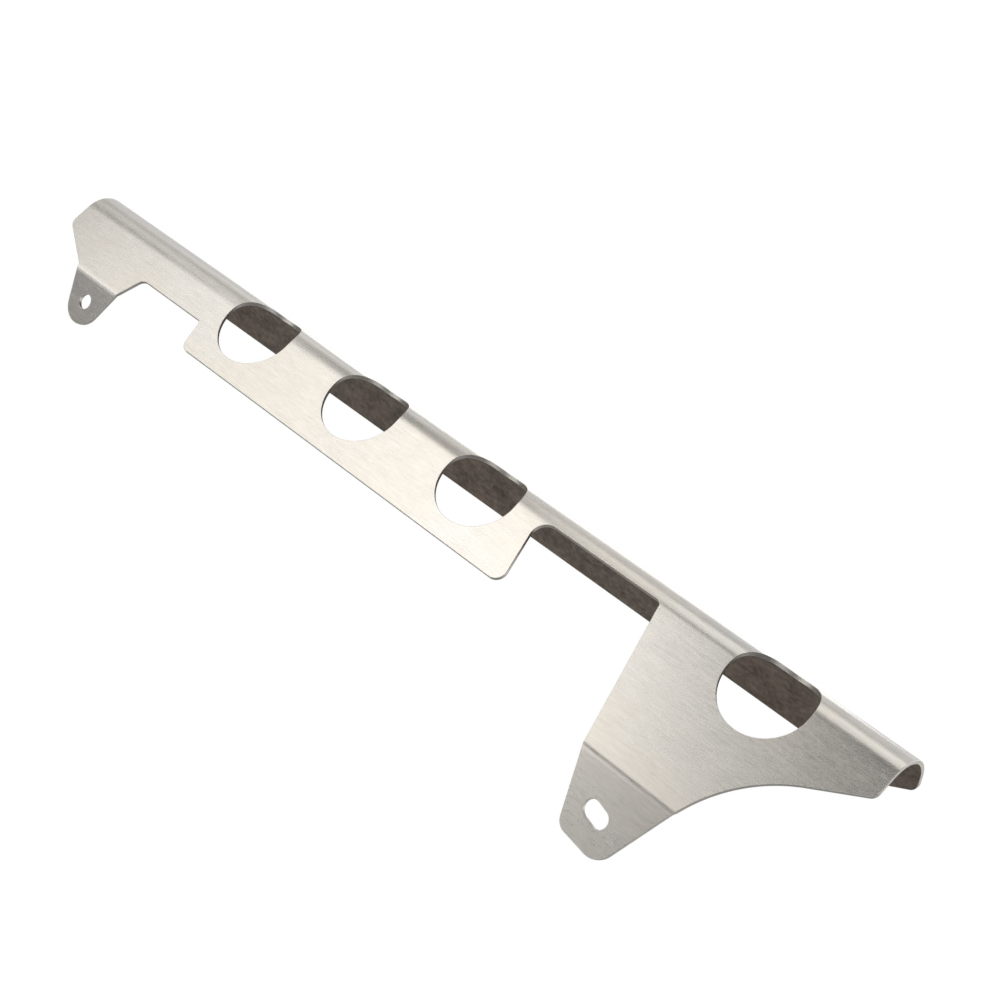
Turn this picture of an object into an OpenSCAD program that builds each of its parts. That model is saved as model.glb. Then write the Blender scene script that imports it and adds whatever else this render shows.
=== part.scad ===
// Chain guard for a small motorcycle, laser cut and folded from one steel sheet.
// Lengths run back from the front bolt hole, which is the origin, and depths run
// down the panel from the row of round holes.

/* [Sheet] */
// Thickness of the steel sheet
sheet_t = 1.5; // [1:0.1:2.5]
// Inside radius of the rolled top
roll_r = 11.5; // [9:0.5:14]
// Angle through which the top is rolled over
roll_turn = 120; // [100:1:140]
// Height of the start of the roll above the row of holes
roll_start = 0.8; // [0.2:0.1:2.4]
// Flat depth of the inner flange beyond the roll
flange_h = 12.8; // [9:0.2:20]
// Angle by which the panel leans out from the upright lugs
lean = 26; // [10:1:35]
// Inside radius of the fold at each lug
fold_r = 1.5; // [1:0.1:3]

/* [Length] */
// From the front bolt hole forward to the front end
front_end = 36.8; // [30:0.2:45]
// From the front bolt hole back to the rear end
rear_end = 400.3; // [395:0.1:410]

/* [Round holes] */
// Diameter of the round holes
hole_d = 34; // [26:0.5:38]
// Number of holes in the middle plate
hole_count = 3; // [1:1:3]
// From the front bolt hole back to the first round hole
hole_first = 81.7; // [78:0.1:84]
// Spacing of the holes in the middle plate
hole_pitch = 65; // [45:0.5:66]
// From the front bolt hole back to the round hole in the rear plate
hole_last = 349.4; // [340:0.2:360]

/* [Front plate] */
// Depth of the front end's lower corner
front_corner = 9.2; // [7:0.1:12]
// Radius of that corner
front_corner_r = 5; // [2:0.5:6]
// Depth of the fold at the front lug
front_foot = 23.3; // [21:0.1:28]
// Slope of the edge from the front corner down to the lug
front_slope = 30; // [26:1:36]
// Radius of the inside corner where that edge meets the lug
front_inside_r = 1.2; // [0.5:0.1:2]

/* [Front lug] */
// Bolt hole diameter
bolt_d = 6.5; // [5:0.1:8.5]
// From the fold down to the bolt hole
bolt_drop = 10.3; // [9:0.1:14]
// Radius of the lug's round end
lug_r = 9.8; // [8:0.1:11]
// Flare of the lug's sides
lug_flare = 20; // [12:1:24]

/* [Middle plate] */
// Depth of the notch between the front lug and the middle plate
notch_depth = 11.5; // [9:0.1:14]
// Radius of the notch's front corner
notch_front_r = 3.5; // [1:0.5:6]
// Radius of the notch's rear corner
notch_rear_r = 1.5; // [0.5:0.5:4]
// From the front bolt hole back to the notch's rear corner
plate_front = 57.2; // [55:0.1:60]
// Depth of the middle plate's lower edge
plate_depth = 24.9; // [22:0.1:32]
// Rake of the middle plate's two ends
plate_rake = 14.6; // [6:0.2:16]
// From the front bolt hole back to the middle plate's lower rear corner
plate_rear = 247; // [244:0.1:250]
// Radius of the middle plate's lower corners
plate_corner_r = 4.2; // [2:0.2:6]

/* [Gap] */
// Height of the gap's upper edge above the row of holes
gap_top = 3.8; // [3:0.1:6]
// Radius of the gap's front upper corner
gap_front_r = 6; // [4:0.5:8]
// Radius of the gap's rear upper corner
gap_rear_r = 2.6; // [1.5:0.1:4]
// From the front bolt hole back to the gap's rear edge at the row of holes
gap_rear = 299.2; // [296:0.2:302]
// Rake of the rear plate's front edge and of the lug's front side below it
gap_rake = 15.4; // [12:0.2:20]

/* [Rear plate] */
// Depth of the fold at the rear lug
rear_foot = 51.1; // [46:0.1:58]
// Depth of the rear end's lower corner
rear_corner = 8; // [6:0.1:10]
// Radius of that corner
rear_corner_r = 3.5; // [1:0.5:5]
// Rake of the edge that rises from the rear lug's fold
sweep_rake = 20; // [12:1:24]
// Height above the fold at which that edge meets the one that runs to the rear end
sweep_h = 22.8; // [18:0.2:26]
// From the fold to the start of the long curve between the two edges
sweep_start = 3.5; // [2:0.1:8]

/* [Rear lug] */
// Slot width
slot_w = 6.9; // [5:0.1:8.5]
// Slot length, end to end
slot_l = 11.1; // [9:0.1:15]
// Slope of the slot, rear end down
slot_slope = 14; // [0:1:20]
// From the front bolt hole back to the middle of the slot
slot_x = 330.7; // [328:0.1:333]
// From the fold down to the middle of the slot
slot_drop = 16.1; // [13:0.1:17]
// Depth of the lug below its fold
rear_lug_h = 28.4; // [26:0.2:34]
// Slope of the lug's foot, rear end down
rear_lug_slope = 8; // [0:1:12]
// Radius of the lug's front corner
rear_lug_front_r = 5; // [2:0.2:7]
// Radius of the lug's rear corner
rear_lug_rear_r = 8; // [3:0.5:10]
// Rake of the lug's rear side
rear_lug_flare = 25; // [15:1:28]
// Width of the lug at its fold
rear_lug_w = 40.6; // [37:0.2:43]

/* [Inner flange] */
// Flat depth of the inner flange at its two ends
flange_end = 5; // [3:0.2:7]
// Slope of its lower edge towards each end
flange_slope = 28; // [20:1:40]
// Radius of the corner at each end
flange_corner_r = 4.5; // [2:0.5:6]
// Radius of the corner where the slope meets the long edge
flange_bend_r = 8; // [4:1:12]

/* [Hidden] */
$fn = 96;
steel = [0.78, 0.77, 0.75];

roll_out = roll_r + sheet_t;
// The sheet keeps its length at this radius when it is rolled
neutral_r = roll_r + 0.45 * sheet_t;
fold_out = fold_r + sheet_t;
// The fold starts this far above and below the corner line of the two outer faces
fold_run = fold_out * tan(lean / 2);
// Reach of the cuts past each face and end of the sheet
past = 2;
guard_l = front_end + rear_end;
hole_r = hole_d / 2;
holes_x = concat([for (i = [0:hole_count - 1]) hole_first + i * hole_pitch], [hole_last]);
// Steps round a hole's edge where it climbs the roll, up the gap's corners, round a fold
rim_steps = 18;
gap_steps = 8;
fold_steps = 4;
// The last row at a hole's top stands this many degrees short of it
rim_gap = 2.5;
// A bend runs this many degrees into the flat part beyond it, whose faces are let in
// by this much so that they cross the bend's at a clear angle
run_in = 5;
let_in = 0.002;
// A cut over a bend is let out by this much where the bend starts and ends, and drawn
// in as much beyond, so it crosses the cut in the flat part at a clear angle
ease = 0.02;
// The outlines run as far past the sheet's two ends, which are trimmed square last
front_x = -front_end - ease;
rear_x = rear_end + ease;

// Place of the rear lug in the finished frame
foot_step = rear_foot - front_foot;
slot_y = -foot_step * sin(lean);
slot_z = bolt_drop - foot_step * cos(lean) - slot_drop;

// Point at height z on the line through p at angle a
function at_height(p, a, z) = [p.x + (z - p.y) / tan(a), z];

// Point where the line through p at angle a meets the line through q at angle b
function crossing(p, a, q, b) =
    let (x = (q.y - p.y + p.x * tan(a) - q.x * tan(b)) / (tan(a) - tan(b)))
    [x, p.y + (x - p.x) * tan(a)];

// Arc of radius r that rounds corner q between its neighbours p and s, in more steps
// the larger it is
function corner(p, q, s, r) =
    let (
        n = ceil(5 * sqrt(r)),
        a = (p - q) / norm(p - q),
        b = (s - q) / norm(s - q),
        half = acos(a * b) / 2,
        centre = q + (a + b) / norm(a + b) * r / sin(half),
        from = q + a * r / tan(half) - centre,
        to = q + b * r / tan(half) - centre,
        start = atan2(from.y, from.x),
        swing = atan2(from.x * to.y - from.y * to.x, from * to)
    )
    [for (i = [0:n]) centre + r * [cos(start + swing * i / n), sin(start + swing * i / n)]];

// Arc at corner i of an outline given as a list of [point, radius]
function round_at(c, i) =
    let (n = len(c))
    corner(c[(i + n - 1) % n][0], c[i][0], c[(i + 1) % n][0], c[i][1]);

// Closed outline with every corner rounded by its own radius, or left sharp at 0
function rounded(c) = [for (i = [0:len(c) - 1]) each c[i][1] == 0 ? [c[i][0]] : round_at(c, i)];

// The front lug's sides are tangent to its round end and run on up the panel
lug_half = lug_r / cos(lug_flare) + bolt_drop * tan(lug_flare);
lug_tip = [0, -front_foot - bolt_drop - lug_r / sin(lug_flare)];
lug_rear = [lug_half, -front_foot];
front_low = [front_x, -front_corner];
front_meet = crossing(front_low, -front_slope, lug_tip, 90 + lug_flare);
notch_front = at_height(lug_rear, 90 - lug_flare, -notch_depth);

// Middle plate, with both of its ends raked alike
notch_rear = [plate_front, -notch_depth];
plate_low = at_height(notch_rear, -90 + plate_rake, -plate_depth);
plate_end = [plate_rear, -plate_depth];
gap_front = at_height(plate_end, 90 + plate_rake, gap_top);

// Rear plate and its lug
gap_back = at_height([gap_rear, 0], 90 + gap_rake, gap_top);
rear_front = at_height([gap_rear, 0], 90 + gap_rake, -rear_foot);
rear_back = rear_front + [rear_lug_w, 0];
foot_mid = [slot_x, -rear_foot - rear_lug_h];
foot_front = crossing(rear_front, 90 + gap_rake, foot_mid, -rear_lug_slope);
foot_back = crossing(rear_back, 90 - rear_lug_flare, foot_mid, -rear_lug_slope);
rear_low = [rear_x, -rear_corner];
sweep = at_height(rear_back, 90 - sweep_rake, sweep_h - rear_foot);
rear_slope = atan2(rear_low.y - sweep.y, rear_low.x - sweep.x);
sweep_r = (norm(sweep - rear_back) - sweep_start) / tan((90 - sweep_rake - rear_slope) / 2);

// Outline of the sheet from its upper limit down, with both lugs unfolded
blank_top = gap_top + past;
notch_mid = (lug_half + plate_front) / 2;
blank = [
    [[front_x, blank_top], 0],
    [front_low, front_corner_r],
    [front_meet, front_inside_r],
    [lug_tip, lug_r],
    [notch_front, notch_front_r],
    [notch_rear, notch_rear_r],
    [plate_low, plate_corner_r],
    [plate_end, plate_corner_r],
    [gap_front, gap_front_r],
    [gap_back, gap_rear_r],
    [rear_front, 0],
    [foot_front, rear_lug_front_r],
    [foot_back, rear_lug_rear_r],
    [rear_back, 0],
    [sweep, sweep_r],
    [rear_low, rear_corner_r],
    [[rear_x, blank_top], 0]
];

// Angle round the roll of a height z above the row of holes
function roll_angle(z) = (z - roll_start) / neutral_r * 180 / PI;

// Rows [angle round the roll, front x, rear x] of a round hole, from just before the roll
function hole_rows(x) =
    let (low = asin(roll_start / hole_r), step = (90 - rim_gap - low) / rim_steps)
    [for (i = [-1:rim_steps])
        let (a = low + i * step, w = hole_r * cos(a) + (i < 0 ? -ease : ease))
        [roll_angle(hole_r * sin(a)), x - w, x + w]];

// The same rows for the gap, whose two upper corners climb the roll
gap_side_front = [for (p = concat([plate_end], corner(plate_end, gap_front, gap_back, gap_front_r)))
    [p.y, p.x]];
gap_side_back = [for (p = concat([rear_front], corner(rear_front, gap_back, gap_front, gap_rear_r)))
    [p.y, p.x]];
gap_rows = [for (i = [-1:gap_steps])
    let (
        z = roll_start + (gap_top - roll_start) * sin(90 * i / gap_steps),
        out = i < 0 ? -ease : ease
    )
    [roll_angle(z), lookup(z, gap_side_front) - out, lookup(z, gap_side_back) + out]];

// Rows [angle, front side, rear side] across a lug's fold. The sides run through p and
// q, each at one angle above the fold and another below it
function fold_rows(p, p_above, p_below, q, q_above, q_below) =
    let (
        high = [at_height(p, p_above, p.y + fold_run).x, at_height(q, q_above, q.y + fold_run).x],
        low = [at_height(p, p_below, p.y - fold_run).x, at_height(q, q_below, q.y - fold_run).x],
        turns = [for (i = [0:fold_steps]) lean * i / fold_steps]
    )
    [for (a = concat(-run_in, turns, lean + 2 * run_in))
        let (at = high + (low - high) * a / lean, out = a < 0 || a > lean ? -ease : ease)
        [a, at.x + out, at.y - out]];
front_fold = fold_rows([-lug_half, -front_foot], 90 + lug_flare, 90 + lug_flare,
    lug_rear, 90 - lug_flare, 90 - lug_flare);
rear_fold = fold_rows(rear_front, 90 + gap_rake, 90 + gap_rake,
    rear_back, 90 - sweep_rake, 90 - rear_lug_flare);

// Solid on an outline in the panel's plane, its outer face at y = 0
module slab(thick) {
    translate([0, thick, 0]) rotate([90, 0, 0]) linear_extrude(thick) children();
}

// Part of an outline above height 0, between two lengths
module above(from_x, to_x) {
    intersection() {
        children();
        translate([from_x, 0]) square([to_x - from_x, guard_l]);
    }
}

// Frame of the flat part beyond a bend that starts at z = 0 and turns towards +y
module beyond(inside_r, turn) {
    translate([0, inside_r + sheet_t, 0]) rotate([-turn, 0, 0])
        translate([0, let_in - inside_r - sheet_t, 0]) children();
}

// Sector from a bend's axis out to the sheet's outer face, between two lengths
module sector(inside_r, turn, from_x, to_x) {
    translate([to_x, inside_r + sheet_t, 0]) rotate([90, 0, -90])
        rotate_extrude(angle = turn + run_in) square([inside_r + sheet_t, to_x - from_x]);
}

// The space inside a bend and behind the flat part beyond it
module inside(inside_r, turn) {
    translate([-front_end - past, inside_r + sheet_t, 0]) rotate([0, 90, 0])
        cylinder(r = inside_r, h = guard_l + 2 * past);
    beyond(inside_r, turn) translate([-front_end - past, sheet_t, 0])
        cube([guard_l + 2 * past, inside_r + past, guard_l]);
}

// Solid with walls square to a bent sheet, through rows [angle, front x, rear x]
module wrapped(inside_r, rows) {
    last = len(rows) - 1;
    low = max(inside_r - past, inside_r / 2);
    high = inside_r + sheet_t + past;
    points = [for (row = rows, side = [1, 2], r = side == 1 ? [high, low] : [low, high])
        [row[side], inside_r + sheet_t - r * cos(row[0]), r * sin(row[0])]];
    walls = [for (i = [0:last - 1], k = [0:3])
        let (a = 4 * i + k, b = 4 * i + (k + 1) % 4)
        each k % 2 == 1 ? [[a, b, b + 4, a + 4]] : [[a, b, b + 4], [a, b + 4, a + 4]]];
    polyhedron(points, concat([[3, 2, 1, 0]], walls, [[for (k = [0:3]) 4 * last + k]]));
}

// The panel between the two folds and the start of the roll
module panel() {
    difference() {
        slab(sheet_t) difference() {
            polygon(rounded(blank));
            translate([-front_end - past, roll_start]) square(guard_l + 2 * past);
            translate([-front_end - past, -rear_foot + fold_run]) mirror([0, 1])
                square(guard_l + 2 * past);
            translate([-front_end - past, -front_foot + fold_run]) mirror([0, 1])
                square(notch_mid + front_end + past);
        }
        for (x = holes_x) translate([x, 0, 0]) rotate([90, 0, 0])
            cylinder(r = hole_r, h = 2 * past, center = true);
    }
}

// Outline of the inner flange, trimmed at a slope towards each end
module flange_outline() {
    trim = (flange_h - flange_end) / tan(flange_slope);
    polygon(rounded([
        [[front_x, 0], 0],
        [[front_x, flange_end], flange_corner_r],
        [[front_x + trim, flange_h], flange_bend_r],
        [[rear_x - trim, flange_h], flange_bend_r],
        [[rear_x, flange_end], flange_corner_r],
        [[rear_x, 0], 0]
    ]));
}

// The rolled top with the inner flange
module rolled_top() {
    translate([0, 0, roll_start]) difference() {
        union() {
            sector(roll_r, roll_turn, -front_end - past / 2, rear_end + past / 2);
            beyond(roll_r, roll_turn) slab(roll_out) flange_outline();
        }
        inside(roll_r, roll_turn);
    }
}

// The holes and the gap's upper corners, where they climb the roll
module roll_cuts() {
    translate([0, 0, roll_start]) {
        for (x = holes_x) wrapped(roll_r, hole_rows(x));
        wrapped(roll_r, gap_rows);
    }
}

// Frame of the fold at a lug, turned over so that it starts at z = 0
module at_fold(foot) {
    translate([0, 0, fold_run - foot]) mirror([0, 0, 1]) children();
}

// A lug with its fold, the fold a little wider than the lug
module lug(foot, from_x, to_x, rows) {
    at_fold(foot) difference() {
        union() {
            sector(fold_r, lean, rows[1][1] - past / 2, rows[1][2] + past / 2);
            beyond(fold_r, lean) slab(fold_out) above(from_x, to_x)
                translate([0, -foot - fold_run]) mirror([0, 1]) polygon(rounded(blank));
        }
        inside(fold_r, lean);
    }
}

// Cuts along a lug's two sides where they cross its fold
module fold_cuts(foot, rows) {
    reach = 2 * past;
    at_fold(foot) {
        wrapped(fold_r, [for (row = rows) [row[0], row[1] - reach, row[1]]]);
        wrapped(fold_r, [for (row = rows) [row[0], row[2], row[2] + reach]]);
    }
}

// Space past the sheet's two ends
module ends() {
    for (x = [-front_end - past, rear_end + past]) translate([x, 0, 0])
        cube([2 * past, guard_l, guard_l], center = true);
}

// The whole sheet in the panel's frame, the row of holes at height 0
module sheet() {
    difference() {
        union() {
            panel();
            rolled_top();
            lug(front_foot, -front_end, notch_mid, front_fold);
            lug(rear_foot, -front_end, rear_end, rear_fold);
        }
        roll_cuts();
        fold_cuts(front_foot, front_fold);
        fold_cuts(rear_foot, rear_fold);
        ends();
    }
}

module bolt_hole() {
    rotate([90, 0, 0]) cylinder(d = bolt_d, h = 2 * past, center = true);
}

module slot() {
    reach = slot_l - slot_w;
    translate([slot_x, slot_y, slot_z]) rotate([90, slot_slope, 0]) {
        for (side = [-0.5, 0.5]) translate([side * reach, 0, 0])
            cylinder(d = slot_w, h = 2 * past, center = true);
        cube([reach, slot_w, 2 * past], center = true);
    }
}

module chain_guard() {
    color(steel) difference() {
        translate([0, 0, bolt_drop]) rotate([-lean, 0, 0]) translate([0, 0, front_foot]) sheet();
        bolt_hole();
        slot();
    }
}

chain_guard();
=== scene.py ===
import math

import bpy
import numpy as np
from mathutils import Matrix
from mathutils.geometry import delaunay_2d_cdt


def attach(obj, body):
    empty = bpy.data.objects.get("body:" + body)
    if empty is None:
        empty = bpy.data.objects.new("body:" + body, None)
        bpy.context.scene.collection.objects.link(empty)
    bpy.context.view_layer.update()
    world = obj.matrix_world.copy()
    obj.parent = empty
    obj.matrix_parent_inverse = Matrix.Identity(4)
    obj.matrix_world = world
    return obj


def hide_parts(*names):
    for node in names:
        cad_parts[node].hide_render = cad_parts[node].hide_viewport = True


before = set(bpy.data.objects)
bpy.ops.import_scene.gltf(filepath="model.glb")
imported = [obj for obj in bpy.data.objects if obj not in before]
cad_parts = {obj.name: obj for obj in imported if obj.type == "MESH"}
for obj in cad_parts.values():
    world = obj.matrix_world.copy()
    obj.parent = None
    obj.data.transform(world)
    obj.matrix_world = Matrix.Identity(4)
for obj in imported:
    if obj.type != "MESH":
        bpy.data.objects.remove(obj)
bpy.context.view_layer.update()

# The guard's blank: one 1.5 mm stainless sheet, cut flat by laser. Lengths u run back
# from the front bolt hole and heights v run up from the row of round holes, in mm. The
# roll and the flange lie above the panel, the two lugs hang below it.
sheet_t, neutral_share = 1.5, 0.45
front_end, front_corner, front_corner_r, front_slope = -36.8, 9.2, 5.0, 30
front_foot, bolt_d, bolt_drop, front_inside_r, lug_r, lug_flare = 23.3, 6.5, 10.3, 1.2, 9.8, 20
notch_depth, notch_front_r, notch_rear_r = 11.5, 3.5, 1.5
plate_front, plate_rear, plate_depth, plate_rake, plate_corner_r = 57.2, 247.0, 24.9, 14.6, 4.2
hole_r, holes_u = 17.0, (81.7, 146.7, 211.7, 349.4)
gap_top, gap_front_r, gap_rear, gap_rear_r, gap_rake = 3.8, 6.0, 299.2, 2.6, 15.4
rear_end, rear_corner, rear_corner_r, rear_foot = 400.3, 8.0, 3.5, 51.1
sweep_rake, sweep_h, sweep_start = 20, 22.8, 3.5
rear_lug_w, rear_lug_h, rear_lug_slope, rear_lug_flare = 40.6, 28.4, 8, 25
rear_lug_front_r, rear_lug_rear_r = 5.0, 8.0
slot_w, slot_l, slot_slope, slot_drop = 6.9, 11.1, math.radians(14), 16.1
slot_at = (330.7, -rear_foot - slot_drop)
roll_r, roll_turn, roll_start = 11.5, math.radians(120), 0.8
roll_out, neutral_r = roll_r + sheet_t, roll_r + neutral_share * sheet_t
roll_end = roll_start + neutral_r * roll_turn
flange_h, flange_end, flange_slope = 12.8, 5.0, math.radians(28)
flange_corner_r, flange_bend_r = 4.5, 8.0
lean, fold_r = math.radians(26), 1.5
fold_out = fold_r + sheet_t
fold_run = fold_out * math.tan(lean / 2)
arc_step, arc_least, oval_per_mm, oval_least, edge_step, slot_step = 0.4, 8, 8, 48, 0.6, 0.4


def at_height(p, angle, v):
    """Point at height v on the line through p at an angle in degrees."""
    return (p[0] + (v - p[1]) / math.tan(math.radians(angle)), v)


def crossing(p, a, q, b):
    """Where the line through p at angle a meets the line through q at angle b."""
    ta, tb = math.tan(math.radians(a)), math.tan(math.radians(b))
    u = (q[1] - p[1] + p[0] * ta - q[0] * tb) / (ta - tb)
    return (u, p[1] + (u - p[0]) * ta)


def rounded(corners):
    """Closed outline through (point, radius) corners: each corner becomes the arc that
    touches both of its sides, its centre on the bisector at radius / sin(half angle)."""
    points = np.array([c[0] for c in corners], float)
    radii = np.array([c[1] for c in corners], float)
    to_last = np.roll(points, 1, 0) - points
    to_next = np.roll(points, -1, 0) - points
    a = to_last / np.linalg.norm(to_last, axis=1)[:, None]
    b = to_next / np.linalg.norm(to_next, axis=1)[:, None]
    half = np.arccos(np.clip((a * b).sum(1), -1, 1)) / 2
    middle = (a + b) / np.linalg.norm(a + b, axis=1)[:, None]
    centre = points + middle * (radii / np.sin(half))[:, None]
    start, stop = a * (radii / np.tan(half))[:, None], b * (radii / np.tan(half))[:, None]
    start, stop = points + start - centre, points + stop - centre
    turn = np.arctan2(start[:, 0] * stop[:, 1] - start[:, 1] * stop[:, 0], (start * stop).sum(1))
    first = np.arctan2(start[:, 1], start[:, 0])
    steps = np.maximum(arc_least, np.ceil(np.abs(turn) * radii / arc_step))
    steps = np.where(radii > 0, steps, 0).astype(int)
    which = np.repeat(np.arange(len(points)), steps + 1)
    step = np.arange(len(which)) - np.repeat(np.cumsum(steps + 1) - steps - 1, steps + 1)
    angle = first[which] + turn[which] * step / np.maximum(steps[which], 1)
    return centre[which] + radii[which, None] * np.stack([np.cos(angle), np.sin(angle)], 1)


def spaced(loop, longest):
    """The closed outline with each side cut into equal parts no longer than asked."""
    side = np.roll(loop, -1, 0) - loop
    parts = np.maximum(1, np.ceil(np.linalg.norm(side, axis=1) / longest)).astype(int)
    which = np.repeat(np.arange(len(loop)), parts)
    share = np.arange(len(which)) - np.repeat(np.cumsum(parts) - parts, parts)
    return loop[which] + side[which] * (share / parts[which])[:, None]


def oval(at, length, width, slope):
    """Round-ended slot, or a circle where both sizes agree, run round clockwise: the
    ends are half circles of half the width about points half the reach either side. The
    angles start a hair late, so that none falls on the seam between the two ends."""
    count = max(oval_least, int(width * oval_per_mm))
    angle = -np.linspace(0, 2 * math.pi, count, endpoint=False) + 1e-9
    along = (length - width) / 2 * np.sign(np.cos(angle)) + width / 2 * np.cos(angle)
    across = width / 2 * np.sin(angle)
    return np.stack([at[0] + along * math.cos(slope) + across * math.sin(slope),
                     at[1] - along * math.sin(slope) + across * math.cos(slope)], 1)


lug_half = lug_r / math.cos(math.radians(lug_flare)) + bolt_drop * math.tan(math.radians(lug_flare))
lug_tip = (0, -front_foot - bolt_drop - lug_r / math.sin(math.radians(lug_flare)))
front_low, notch_rear = (front_end, -front_corner), (plate_front, -notch_depth)
plate_end = (plate_rear, -plate_depth)
gap_back = at_height((gap_rear, 0), 90 + gap_rake, gap_top)
rear_front = at_height((gap_rear, 0), 90 + gap_rake, -rear_foot)
rear_back = (rear_front[0] + rear_lug_w, -rear_foot)
foot_mid = (slot_at[0], -rear_foot - rear_lug_h)
rear_low = (rear_end, -rear_corner)
sweep = at_height(rear_back, 90 - sweep_rake, sweep_h - rear_foot)
sweep_turn = math.radians(90 - sweep_rake) - math.atan2(rear_low[1] - sweep[1], rear_low[0] - sweep[0])
sweep_r = (math.dist(sweep, rear_back) - sweep_start) / math.tan(sweep_turn / 2)
trim = (flange_h - flange_end) / math.tan(flange_slope)
outline = rounded([
    (front_low, front_corner_r),
    (crossing(front_low, -front_slope, lug_tip, 90 + lug_flare), front_inside_r),
    (lug_tip, lug_r),
    (at_height((lug_half, -front_foot), 90 - lug_flare, -notch_depth), notch_front_r),
    (notch_rear, notch_rear_r),
    (at_height(notch_rear, plate_rake - 90, -plate_depth), plate_corner_r),
    (plate_end, plate_corner_r),
    (at_height(plate_end, 90 + plate_rake, gap_top), gap_front_r),
    (gap_back, gap_rear_r),
    (crossing(rear_front, 90 + gap_rake, foot_mid, -rear_lug_slope), rear_lug_front_r),
    (crossing(rear_back, 90 - rear_lug_flare, foot_mid, -rear_lug_slope), rear_lug_rear_r),
    (at_height(rear_back, 90 - rear_lug_flare, -rear_foot - fold_run), 0),
    (at_height(rear_back, 90 - sweep_rake, -rear_foot + fold_run), 0),
    (sweep, sweep_r),
    (rear_low, rear_corner_r),
    ((rear_end, roll_end + flange_end), flange_corner_r),
    ((rear_end - trim, roll_end + flange_h), flange_bend_r),
    ((front_end + trim, roll_end + flange_h), flange_bend_r),
    ((front_end, roll_end + flange_end), flange_corner_r),
])
loops = [spaced(outline, edge_step)]
loops += [oval((u, 0), 2 * hole_r, 2 * hole_r, 0) for u in holes_u]
loops += [oval((0, -front_foot - bolt_drop), bolt_d, bolt_d, 0)]
loops += [spaced(oval(slot_at, slot_l, slot_w, slot_slope), slot_step)]


# The folds: the top is rolled through 120 degrees and ends in a flat flange, and each
# lug is folded back by the panel's lean, so that both lugs stand upright. The light
# turns a little past each lug's fold, as it does on a pressed one.
fold_soft, between_lugs = 1.7, 36.0


def folded(u, v, w):
    """Place of blank points of length u, height v and depth w on the folded sheet, with
    the sheet's directions there: up the blank and into the sheet. On the roll the angle
    is the height over the neutral radius, at which the sheet keeps its length, and on a
    lug's fold it is the lean times the share of the fold's run. The point is (R - w) from
    the bend's axis, R being the outer radius, and beyond the bend it goes on straight."""
    foot = np.where(u < between_lugs, front_foot, rear_foot)
    up = np.clip((v - roll_start) / neutral_r, 0, roll_turn)
    down = np.clip((fold_run - foot - v) / (2 * fold_run), 0, 1) * lean
    turn = up - down
    radius = np.where(v > 0, roll_out, fold_out)
    root = np.where(v > roll_start, roll_start, np.where(v < fold_run - foot, fold_run - foot, v))
    run = np.where(v > 0, np.maximum(v - roll_end, 0), np.minimum(v + foot + fold_run, 0))
    bend = turn != 0
    y = np.where(bend, radius - (radius - w) * np.cos(turn) + run * np.sin(turn), w)
    z = root + np.where(bend, (radius - w) * np.sin(turn) + run * np.cos(turn), 0)
    rise = z + front_foot
    tilt = up + lean - np.clip((fold_soft - foot - v) / (2 * fold_soft), 0, 1) * lean
    place = np.stack([u, y * math.cos(lean) + rise * math.sin(lean),
                      rise * math.cos(lean) - y * math.sin(lean) + bolt_drop], 1)
    nought = np.zeros_like(tilt)
    above = np.stack([nought, np.sin(tilt), np.cos(tilt)], 1)
    into = np.stack([nought, np.cos(tilt), -np.sin(tilt)], 1)
    return place, above, into


# The net: laser-cut sheet has edges that are just broken, so each outline is drawn in by
# a small round. The blank between the outlines is filled with triangles, in narrow rows
# where it bends.
edge_r, round_steps = 0.16, 4
net, net_low, net_high, net_in, clear = 2.6, -80.0, -0.5, 1.0, 0.45
roll_rows, fold_rows, flange_rows, flange_in = 44, 13, 5, (2.0, 1.5)
lots, tiny = 40, 1e-6


def rim(loop):
    """Rings of a cut edge: from the outer face over a small round to the wall and over
    another to the inner face. Each round is a quarter circle of the edge's radius. Gives
    the rings, their depth, the way out of the sheet, and each ring's outward and inward
    share of its normal."""
    side = np.roll(loop, -1, 0) - loop
    side /= np.linalg.norm(side, axis=1)[:, None]
    ahead = side + np.roll(side, 1, 0)
    ahead /= np.linalg.norm(ahead, axis=1)[:, None]
    out = np.stack([ahead[:, 1], -ahead[:, 0]], 1)
    quarter = np.linspace(0, math.pi / 2, round_steps)
    angle = np.concatenate([quarter, quarter + math.pi / 2])
    inset = edge_r * (1 - np.sin(angle))
    depth = edge_r * (1 - np.cos(angle))
    depth[round_steps:] = sheet_t - edge_r * (1 + np.cos(angle[round_steps:]))
    rings = loop[None] - out[None] * inset[:, None, None]
    return rings, depth, out, np.sin(angle), -np.cos(angle)


def inside(points):
    """Whether each point lies in the sheet: a ray to the right crosses the outlines an
    odd number of times."""
    hits = np.zeros(len(points), int)
    for loop in edge_loops:
        a, b = loop, np.roll(loop, -1, 0)
        u, v = points[:, 0, None], points[:, 1, None]
        spans = (a[:, 1] > v) != (b[:, 1] > v)
        rise = np.where(b[:, 1] == a[:, 1], 1, b[:, 1] - a[:, 1])
        hits += (spans & (u < a[:, 0] + (v - a[:, 1]) / rise * (b[:, 0] - a[:, 0]))).sum(1)
    return hits % 2 == 1


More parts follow.
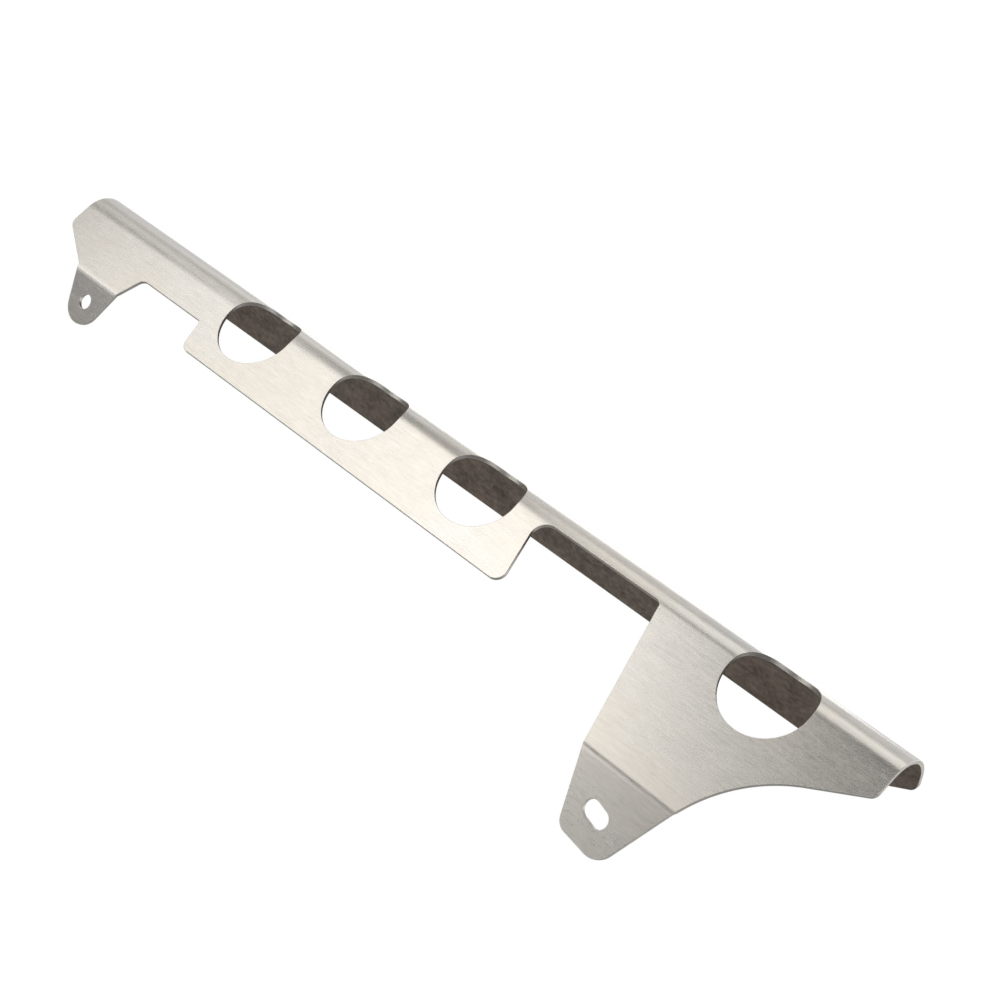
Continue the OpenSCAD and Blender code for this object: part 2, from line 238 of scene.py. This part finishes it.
rims = [rim(loop) for loop in loops]
edge_loops = [rings[0] for rings, *_ in rims]
edge_points = np.concatenate(edge_loops)
rows = np.concatenate([
    np.linspace(roll_start, roll_end, roll_rows),
    np.arange(net_low, net_high, net),
    np.linspace(roll_end + flange_in[0], roll_end + flange_h - flange_in[1], flange_rows),
    -front_foot + np.linspace(-fold_soft, fold_soft, fold_rows),
    -rear_foot + np.linspace(-fold_soft, fold_soft, fold_rows),
])
columns = np.arange(front_end + net_in, rear_end, net)
grid = np.stack(np.meshgrid(columns, np.sort(rows)), 2).reshape(-1, 2)
grid = grid[inside(grid)]
nearest = np.concatenate([
    np.min(np.linalg.norm(part[:, None] - edge_points[None], axis=2), axis=1)
    for part in np.array_split(grid, lots)
])
grid = grid[nearest > clear]
flat = np.concatenate([edge_points, grid])
counts = [len(loop) for loop in loops]
starts = np.cumsum([0] + counts)[:-1]
edges = np.concatenate([
    np.stack([s + np.arange(n), s + (np.arange(n) + 1) % n], 1) for s, n in zip(starts, counts)
])
found = delaunay_2d_cdt([tuple(p) for p in flat.tolist()], edges.tolist(), [], 0, tiny)
triangles = np.array([f for f in found[2] if len(f) == 3])
assert len(found[0]) == len(flat)
sides = flat[triangles[:, 1:]] - flat[triangles[:, :1]]
area = np.abs(sides[:, 0, 0] * sides[:, 1, 1] - sides[:, 0, 1] * sides[:, 1, 0])
triangles = triangles[inside(flat[triangles].mean(1)) & (area > tiny)]

# The folded sheet: both faces carry the same triangles, and rings of quads carry them
# round every cut edge. Each point has its own normal, so the flat parts stay flat.
outer_face, inner_face_mottle_and_painted_shade, cut_edge, mm_per_m = 0, 1, 2, 1000
place, _, into = folded(flat[:, 0], flat[:, 1], np.zeros(len(flat)))
back, _, _ = folded(flat[:, 0], flat[:, 1], np.full(len(flat), sheet_t))
points, normals = [place, back], [-into, into]
faces, quads = [triangles, triangles[:, ::-1] + len(flat)], []
finish = [outer_face] * len(triangles) + [inner_face_mottle_and_painted_shade] * len(triangles)
total = 2 * len(flat)
for (rings, depth, out, outward, inward), start, n in zip(rims, starts, counts):
    around = np.arange(n)
    index = [start + around]
    for k in range(1, 2 * round_steps - 1):
        p, up, into = folded(rings[k][:, 0], rings[k][:, 1], np.full(n, depth[k]))
        side = out[:, :1] * np.array([[1.0, 0, 0]]) + out[:, 1:] * up
        points.append(p)
        normals.append(outward[k] * side + inward[k] * into)
        index.append(total + around)
        total += n
    index.append(len(flat) + start + around)
    for k in range(2 * round_steps - 1):
        low, high = index[k], index[k + 1]
        quads.append(np.stack([low, high, np.roll(high, -1), np.roll(low, -1)], 1))
        finish += [cut_edge if k == round_steps - 1 else outer_face] * n
points = np.concatenate(points) / mm_per_m
normals = np.concatenate(normals)
quads = np.concatenate(quads)
triangles = np.concatenate(faces)

mesh = bpy.data.meshes.new("folded_sheet")
mesh.from_pydata(points.tolist(), [], triangles.tolist() + quads.tolist())
mesh.update()
mesh.polygons.foreach_set("use_smooth", np.ones(len(mesh.polygons), bool))
mesh.polygons.foreach_set("material_index", finish)
normals /= np.linalg.norm(normals, axis=1)[:, None]
mesh.normals_split_custom_set_from_vertices(normals.tolist())
guard = bpy.data.objects.new("folded_sheet", mesh)
bpy.context.scene.collection.objects.link(guard)
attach(guard, "root")
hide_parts("chain_guard")


# The finishes: stainless sheet brushed along its length on the outer face. The inner face is
# duller, browner and mottled, and its colour is also darkened well below the outer face's as
# painted shade for the shaded inside of the roll and flange. The laser-cut walls are plain grey.
class Value:
    """A number socket that can be used in sums, so shader maths reads as it is meant."""

    def __init__(self, tree, socket):
        self.tree, self.socket = tree, socket

    def maths(self, operation, *others):
        return make(self.tree, "ShaderNodeMath", {"operation": operation}, self, *others)

    def __add__(self, other):
        return self.maths("ADD", other)

    def __mul__(self, other):
        return self.maths("MULTIPLY", other)

    def __sub__(self, other):
        return self.maths("SUBTRACT", other)

    def __rsub__(self, other):
        return make(self.tree, "ShaderNodeMath", {"operation": "SUBTRACT"}, other, self)

    __radd__, __rmul__ = __add__, __mul__

    def clamped(self, low, high, to_low=0, to_high=1):
        """The value between two limits carried smoothly over to two others, and held
        at both."""
        return make(self.tree, "ShaderNodeMapRange", {"interpolation_type": "SMOOTHSTEP"},
                    self, low, high, to_low, to_high)


def make(tree, kind, settings, *values, out=0, **named):
    """Makes a node, sets what it is told, and links or sets the values of its sockets in
    their order or by name. Gives its output."""
    node = tree.nodes.new(kind)
    for name, value in settings.items():
        setattr(node, name, value)
    slots = [(s, v) for s, v in zip([s for s in node.inputs if s.enabled], values)]
    slots += [(node.inputs[k.replace("_", " ")], v) for k, v in named.items()]
    for socket, value in slots:
        if isinstance(value, Value):
            tree.links.new(value.socket, socket)
        elif value is not None:
            socket.default_value = value
    return Value(tree, node.outputs[out]) if node.outputs else node


def steel(name, colour, rough, grain, mottle):
    """Bare stainless sheet. Fine grain runs along the length: noise drawn out some
    seventeen times in x lightens, roughens and lifts it a little. Broad clouds, patches,
    flecks and a few long faint scuffs break it up, and a slow wave bends its sheen."""
    material = bpy.data.materials.new(name)
    material.use_nodes = True
    tree = material.node_tree
    tree.nodes.clear()
    spot = make(tree, "ShaderNodeTexCoord", {}, out="Object")

    def noise(stretch, detail):
        at = make(tree, "ShaderNodeMapping", {}, spot, Scale=stretch)
        return make(tree, "ShaderNodeTexNoise", {"noise_dimensions": "3D"}, at,
                    Scale=1.0, Detail=detail, Roughness=0.6)

    hair = noise((190, 3200, 3200), 2.0)
    line = noise((60, 1100, 1100), 2.0)
    cloud = noise((18, 40, 40), 3.0)
    fleck = noise((480, 700, 700), 4.0)
    patch = noise((110, 160, 160), 2.0)
    streak = hair - 0.5 + (line - 0.5) * 0.5
    scuff = noise((26, 800, 800), 1.0).clamped(0.75, 0.84)
    dapple = (fleck + patch * 0.7 - 0.85) * mottle
    tone = 1.0 + streak * grain + (cloud - 0.5) * 0.10 + dapple - scuff * 0.12
    warm = cloud.clamped(0.35, 0.65)
    tint = make(tree, "ShaderNodeMix", {"data_type": "RGBA"}, warm, (*colour, 1),
                (colour[0] * 1.012, colour[1] * 0.992, colour[2] * 0.962, 1), out="Result")
    grey = make(tree, "ShaderNodeCombineColor", {}, tone, tone, tone)
    paint = make(tree, "ShaderNodeMix", {"data_type": "RGBA", "blend_type": "MULTIPLY"},
                 1.0, tint, grey, out="Result")
    scratch = rough + streak * 0.05 + (cloud - 0.5) * 0.08 + (fleck - 0.5) * 0.05
    scratch = scratch.clamped(0.05, 0.95, 0.05, 0.95)
    height = hair * 0.5 + line * 0.5
    bump = make(tree, "ShaderNodeBump", {}, Strength=0.25, Distance=0.000008, Height=height)
    wave = noise((9, 22, 22), 1.0)
    relief = make(tree, "ShaderNodeBump", {}, Strength=0.35, Distance=0.0006,
                  Height=wave, Normal=bump)
    shader = make(tree, "ShaderNodeBsdfPrincipled", {}, Base_Color=paint, Metallic=1.0,
                  Roughness=scratch, Normal=relief)
    make(tree, "ShaderNodeOutputMaterial", {}, shader)
    return material


guard.data.materials.append(steel("brushed_face", (0.64, 0.62, 0.59), 0.345, 0.40, 0.12))
# The inner face's dark base colour is painted shade for the inside of the channel, on top of its own
# duller, browner mottle.
guard.data.materials.append(steel("inner_face_mottle_and_painted_shade", (0.245, 0.206, 0.176), 0.50, 0.25, 1.5))
guard.data.materials.append(steel("cut_edge", (0.46, 0.44, 0.41), 0.42, 0.25, 0.3))

# The place: a wide pale floor well under the guard and a pale room. The camera sees both
# as white, and the metal sees three quarters of that white, only behind the guard. The
# rest of the room is dim, and the floor keeps a share of its own shade for a shadow.
soft_room, glossy_room, back_level = 0.15, 0.16, 0.75
floor_near, floor_far, sky_near, sky_far = 0.1, 0.7, 0.0, 0.5
floor_size, floor_z, paper_grey, glow_level, floor_share = 30.0, -0.36, 0.80, 1.035, 0.96


def shown(tree, spot, near, far):
    """Share of the white backdrop: all of it for the camera, and for metal's and glass's
    rays the backdrop's level, rising smoothly from near to far behind the guard."""
    rays = [make(tree, "ShaderNodeLightPath", {}, out=kind) for kind in
            ("Is Camera Ray", "Is Glossy Ray", "Is Transmission Ray")]
    behind = make(tree, "ShaderNodeSeparateXYZ", {}, spot, out="Y").clamped(near, far)
    return rays[0].maths("MAXIMUM", (rays[1] + rays[2]) * behind * back_level)


floor_mesh = bpy.data.meshes.new("floor")
corners = np.array([(-1, -1, 0), (1, -1, 0), (1, 1, 0), (-1, 1, 0)]) * floor_size + (0, 0, floor_z)
floor_mesh.from_pydata(corners.tolist(), [], [(0, 1, 2, 3)])
floor = bpy.data.objects.new("floor", floor_mesh)
bpy.context.scene.collection.objects.link(floor)
paper = bpy.data.materials.new("floor_paper")
paper.use_nodes = True
tree = paper.node_tree
tree.nodes.clear()
seen = shown(tree, make(tree, "ShaderNodeTexCoord", {}, out="Object"), floor_near, floor_far)
matt = make(tree, "ShaderNodeBsdfDiffuse", {}, (paper_grey, paper_grey, paper_grey, 1))
glow = make(tree, "ShaderNodeEmission", {}, (1, 1, 1, 1), glow_level)
mixed = make(tree, "ShaderNodeMixShader", {}, seen * floor_share, matt, glow)
make(tree, "ShaderNodeOutputMaterial", {}, mixed)
floor_mesh.materials.append(paper)

world = bpy.data.worlds.new("room")
bpy.context.scene.world = world
world.use_nodes = True
tree = world.node_tree
tree.nodes.clear()
seen = shown(tree, make(tree, "ShaderNodeTexCoord", {}, out="Generated"), sky_near, sky_far)
metal = make(tree, "ShaderNodeLightPath", {}, out="Is Glossy Ray")
level = make(tree, "ShaderNodeMix", {"data_type": "FLOAT"}, metal, soft_room, glossy_room)
room = make(tree, "ShaderNodeBackground", {}, (1, 1, 1, 1), level)
white = make(tree, "ShaderNodeBackground", {}, (1, 1, 1, 1), 1.0)
mixed = make(tree, "ShaderNodeMixShader", {}, seen, room, white)
make(tree, "ShaderNodeOutputWorld", {}, mixed)

# The lamps: a large soft key box before the panel and off its front end, weaker boxes
# round it that carry its light over the roll and down to the lugs, one behind for the
# roll's top line, and plain boxes off the rear end, so that no side is left dark.
warm_white = (1.0, 0.985, 0.955)


def facing(at, towards, roll=0):
    """Matrix that stands a lamp or camera at a place in metres and faces it to another:
    its back is the way between them, its right side the level way across that, and both
    its sides are then rolled about the back by an angle in degrees."""
    back = np.array(at) - np.array(towards)
    back /= np.linalg.norm(back)
    level = np.cross((0, 0, 1), back)
    level /= np.linalg.norm(level)
    above = np.cross(back, level)
    c, s = math.cos(math.radians(roll)), math.sin(math.radians(roll))
    turn = np.stack([level * c + above * s, above * c - level * s, back], 1)
    return Matrix.Translation(at) @ Matrix(turn.tolist()).to_4x4()


def lamp(name, at, towards, width, height, power, colour=(1, 1, 1)):
    """A soft box at a place in metres, turned to face another, with its watts."""
    data = bpy.data.lights.new(name, "AREA")
    data.shape = "RECTANGLE"
    data.size, data.size_y = width, height
    data.energy, data.color = power, colour
    box = bpy.data.objects.new(name, data)
    bpy.context.scene.collection.objects.link(box)
    box.matrix_world = facing(at, towards)
    box.visible_camera = False


lamp("key_box", (-0.61, -0.71, 0.66), (0.15, 0.0, 0.02), 0.62, 1.1, 2.78, warm_white)
lamp("rear_key_box", (-0.37, -1.08, 0.67), (0.33, 0.0, 0.0), 0.45, 0.45, 0.88, warm_white)
lamp("upper_box", (-0.55, -0.30, 0.85), (0.15, 0.0, 0.03), 0.8, 0.35, 0.28, warm_white)
lamp("top_box", (0.12, -0.01, 0.95), (0.34, 0.0, 0.03), 0.5, 0.85, 1.40, warm_white)
lamp("front_upper_box", (-0.72, -0.10, 0.70), (0.02, 0.0, 0.03), 0.35, 0.4, 0.22, warm_white)
lamp("front_top_box", (-0.60, 0.27, 0.72), (0.05, 0.0, 0.03), 0.5, 0.4, 0.20, warm_white)
lamp("back_box", (-0.28, 0.85, 0.36), (0.2, 0.0, 0.03), 0.6, 0.4, 0.85)
lamp("side_box", (1.3, 1.2, 0.30), (0.2, 0.0, 0.0), 1.0, 0.9, 3.2)
lamp("front_box", (0.78, -0.85, 0.78), (0.2, 0.0, 0.0), 0.8, 0.6, 1.6)
lamp("front_low_box", (0.70, -1.25, 0.0), (0.2, 0.0, 0.0), 0.9, 0.6, 2.0)
lamp("low_box", (-1.1, -1.2, 0.1), (0.1, 0.0, 0.0), 0.6, 0.6, 0.72)
lamp("rear_low_box", (-0.52, -1.22, -0.1), (0.33, 0.0, -0.02), 0.35, 0.5, 1.35)

# The camera stands at the photograph's viewpoint: low in front of the panel and past
# its rear end, turned until the guard runs down across the picture.
camera_at = (0.61654, -0.58402, 0.12664)
camera_towards, camera_roll = (0.22933, 0.0, 0.03298), 30.361
camera = bpy.data.cameras.new("camera")
camera.sensor_width, camera.lens = 36.0, 72.306
camera.clip_start, camera.clip_end = 0.02, 200.0
stand = bpy.data.objects.new("camera", camera)
bpy.context.scene.collection.objects.link(stand)
stand.matrix_world = facing(camera_at, camera_towards, camera_roll)
bpy.context.scene.camera = stand
bpy.context.scene.view_settings.view_transform = "Standard"
